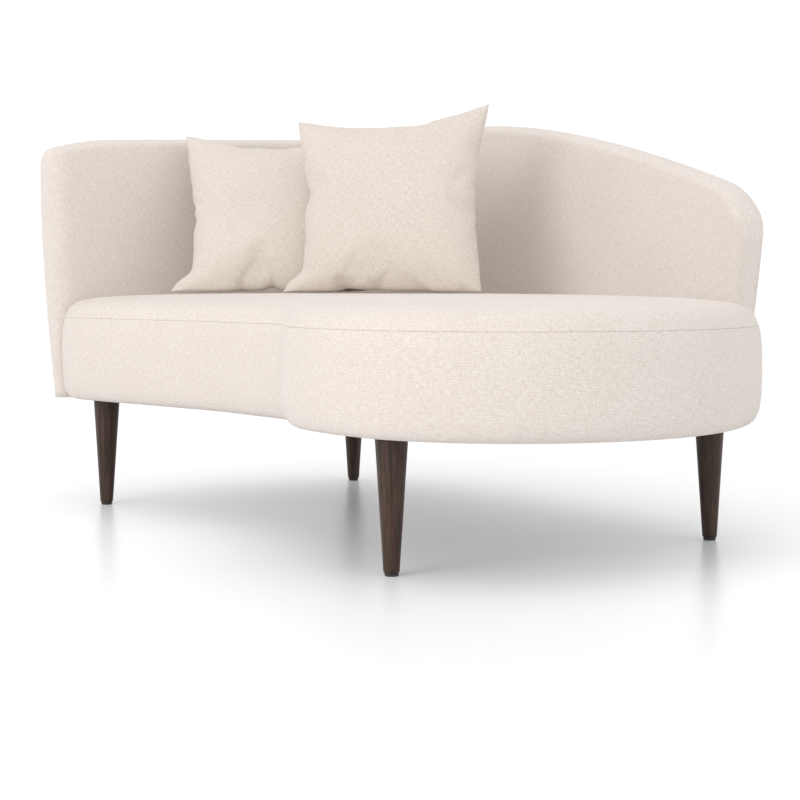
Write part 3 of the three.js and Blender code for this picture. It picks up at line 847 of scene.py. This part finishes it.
def plain(name, dark, light, scale, rough, metal=0.0, bump=0.2, distance=0.0005):
    """Small-scale mottled surface: foam, felted cloth, plated steel, moulding."""
    mat, tree = material(name)
    coords = tree.nodes.new("ShaderNodeTexCoord")
    speck = noise_node(tree, coords.outputs["Object"], scale, 4.0)
    bsdf = shader(tree, Roughness=rough, Metallic=metal)
    tree.links.new(ramp(tree, speck, [(0.35, dark), (0.65, light)]), bsdf.inputs["Base Color"])
    gloss = math_node(tree, "ADD", math_node(tree, "MULTIPLY", speck, 0.2), rough - 0.1)
    tree.links.new(gloss, bsdf.inputs["Roughness"])
    bump_node(tree, speck, bump, distance, bsdf)
    return mat


MATERIALS = {
    "fabric": woven("cream_weave", (0.61, 0.545, 0.49), (0.735, 0.67, 0.617), (0.88, 0.835, 0.795), 0.0024),
    "pillow_fabric": woven("oatmeal_weave", (0.58, 0.51, 0.445), (0.705, 0.635, 0.57), (0.86, 0.805, 0.75),
                           0.0022),
    "foam": plain("foam", (0.72, 0.66, 0.48), (0.86, 0.81, 0.65), 900, 0.9),
    "fibre": plain("fibre_fill", (0.80, 0.80, 0.78), (0.93, 0.93, 0.91), 400, 0.95, bump=0.5, distance=0.001),
    "ply": wooden("raw_ply", (0.42, 0.28, 0.15), (0.66, 0.49, 0.30), (2.0, 30, 60), 0.6),
    "stained_wood": wooden("espresso_wood", (0.009, 0.0048, 0.003), (0.072, 0.037, 0.022),
                           (38, 38, 1.6), 0.42),
    "zinc_steel": plain("zinc_steel", (0.50, 0.50, 0.51), (0.70, 0.71, 0.73), 260, 0.34, 1.0, 0.08),
    "glide_plastic": plain("glide_nylon", (0.012, 0.012, 0.012), (0.030, 0.030, 0.030), 500, 0.5),
    "cambric": plain("black_cambric", (0.004, 0.004, 0.004), (0.022, 0.022, 0.022), 700, 0.95, bump=0.6),
    "webbing": plain("webbing", (0.03, 0.03, 0.035), (0.09, 0.09, 0.095), 600, 0.85, bump=0.5),
}


def cover_in(obj, slot):
    obj.data.materials.clear()
    obj.data.materials.append(MATERIALS[slot])


def dress(obj, slot, body):
    """Gives a new piece its material, and says which body it moves with."""
    cover_in(obj, slot)
    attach(obj, body)


slots = {row["node"]: row["material_slot"] for row in frame["record"]["subparts"]}
for name, obj in nodes.items():
    cover_in(obj, slots[name])

for zone in ("inside", "outside"):
    roll_edges(back[zone], SEAM_ROLL, SEAM_REACH, lambda p: p.z > BASE_Z + 0.002)

for obj in (border, top, back["inside"], back["outside"]):
    dress(obj, "fabric", "sofa")
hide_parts("seat_border_cover", "seat_border_foam")
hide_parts("seat_top_cover", "seat_foam")
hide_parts("back_inner_cover", "back_inner_foam")
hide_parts("back_outer_cover", "back_outer_pad")
for obj in (border, top, back["inside"], back["outside"]):
    thicken(obj, CLOTH)
for side, obj in pillows.items():
    dress(obj, "pillow_fabric", side + "_pillow")
    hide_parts(f"pillow_{side}_front_cover", f"pillow_{side}_back_cover", f"pillow_{side}_insert")
dress(dust_cloth, "cambric", "sofa")
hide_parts("dust_cover")
thicken(dust_cloth, THIN_CLOTH)
for place, obj in legs.items():
    dress(obj, "stained_wood", "sofa")
    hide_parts("leg_" + place)


# ------------------------------------------------------------------ stage
FLOOR_HALF = 30
corners = [(sx * FLOOR_HALF, sy * FLOOR_HALF, 0) for sx, sy in ((-1, -1), (1, -1), (1, 1), (-1, 1))]
floor = new_object("floor", corners, [(0, 1, 2, 3)])
floor_mat, tree = material("pale_floor")
shader(tree, Base_Color=(0.93, 0.93, 0.935, 1), Roughness=0.30, Specular_IOR_Level=0.35,
       Emission_Color=(1, 1, 1, 1), Emission_Strength=0.06)
floor.data.materials.append(floor_mat)

world = bpy.data.worlds.new("studio")
bpy.context.scene.world = world
world.use_nodes = True
sky = world.node_tree
backdrop = sky.nodes["Background"]
heading = sky.nodes.new("ShaderNodeTexCoord")
split = sky.nodes.new("ShaderNodeSeparateXYZ")
sky.links.new(heading.outputs["Generated"], split.inputs[0])
brightness = ramp(sky, split.outputs[2], [(0.0, (0.985, 0.985, 0.987)), (0.30, (0.98, 0.98, 0.982)),
                                          (0.50, (0.86, 0.86, 0.865)), (1.0, (0.78, 0.78, 0.79))])
sky.links.new(brightness, backdrop.inputs[0])
backdrop.inputs[1].default_value = 1.12

CAMERA_AT = Vector((2.7092, -1.8956, 0.480)) + SHIFT
LENS, LENS_SHIFT = 74.25, -0.15   # millimetres, and a share of the frame
SENSOR = 36
LAMP_TARGET = Vector((0.0, 0.0, 0.4))
AZIMUTH = math.radians(54)
RIGHT = Vector((math.cos(AZIMUTH), math.sin(AZIMUTH), 0))
AHEAD = Vector((-math.sin(AZIMUTH), math.cos(AZIMUTH), 0))


def lamp(name, across, ahead, up, size, power, tint=(1, 1, 1)):
    """Soft box placed across and ahead of the camera's line through the sofa."""
    data = bpy.data.lights.new(name, "AREA")
    data.shape = "SQUARE"
    data.size = size
    data.energy = power
    data.color = tint
    obj = bpy.data.objects.new(name, data)
    obj.location = RIGHT * across + AHEAD * ahead + Vector((0, 0, up))
    obj.rotation_mode = "QUATERNION"
    obj.rotation_quaternion = (LAMP_TARGET - obj.location).to_track_quat("-Z", "Y")
    bpy.context.scene.collection.objects.link(obj)


lamp("key", -3.2, -3.4, 2.2, 2.4, 66, tint=(1, 0.98, 0.96))
lamp("fill", 3.2, -1.8, 1.5, 2.4, 7)
lamp("overhead", -0.2, -1.2, 3.2, 2.8, 16)

cam_data = bpy.data.cameras.new("camera")
cam_data.sensor_width = SENSOR
cam_data.lens = LENS
cam_data.shift_y = LENS_SHIFT
camera = bpy.data.objects.new("camera", cam_data)
camera.location = CAMERA_AT
camera.rotation_euler = (math.pi / 2, 0, AZIMUTH)
bpy.context.scene.collection.objects.link(camera)
bpy.context.scene.camera = camera
bpy.context.scene.view_settings.view_transform = "Standard"
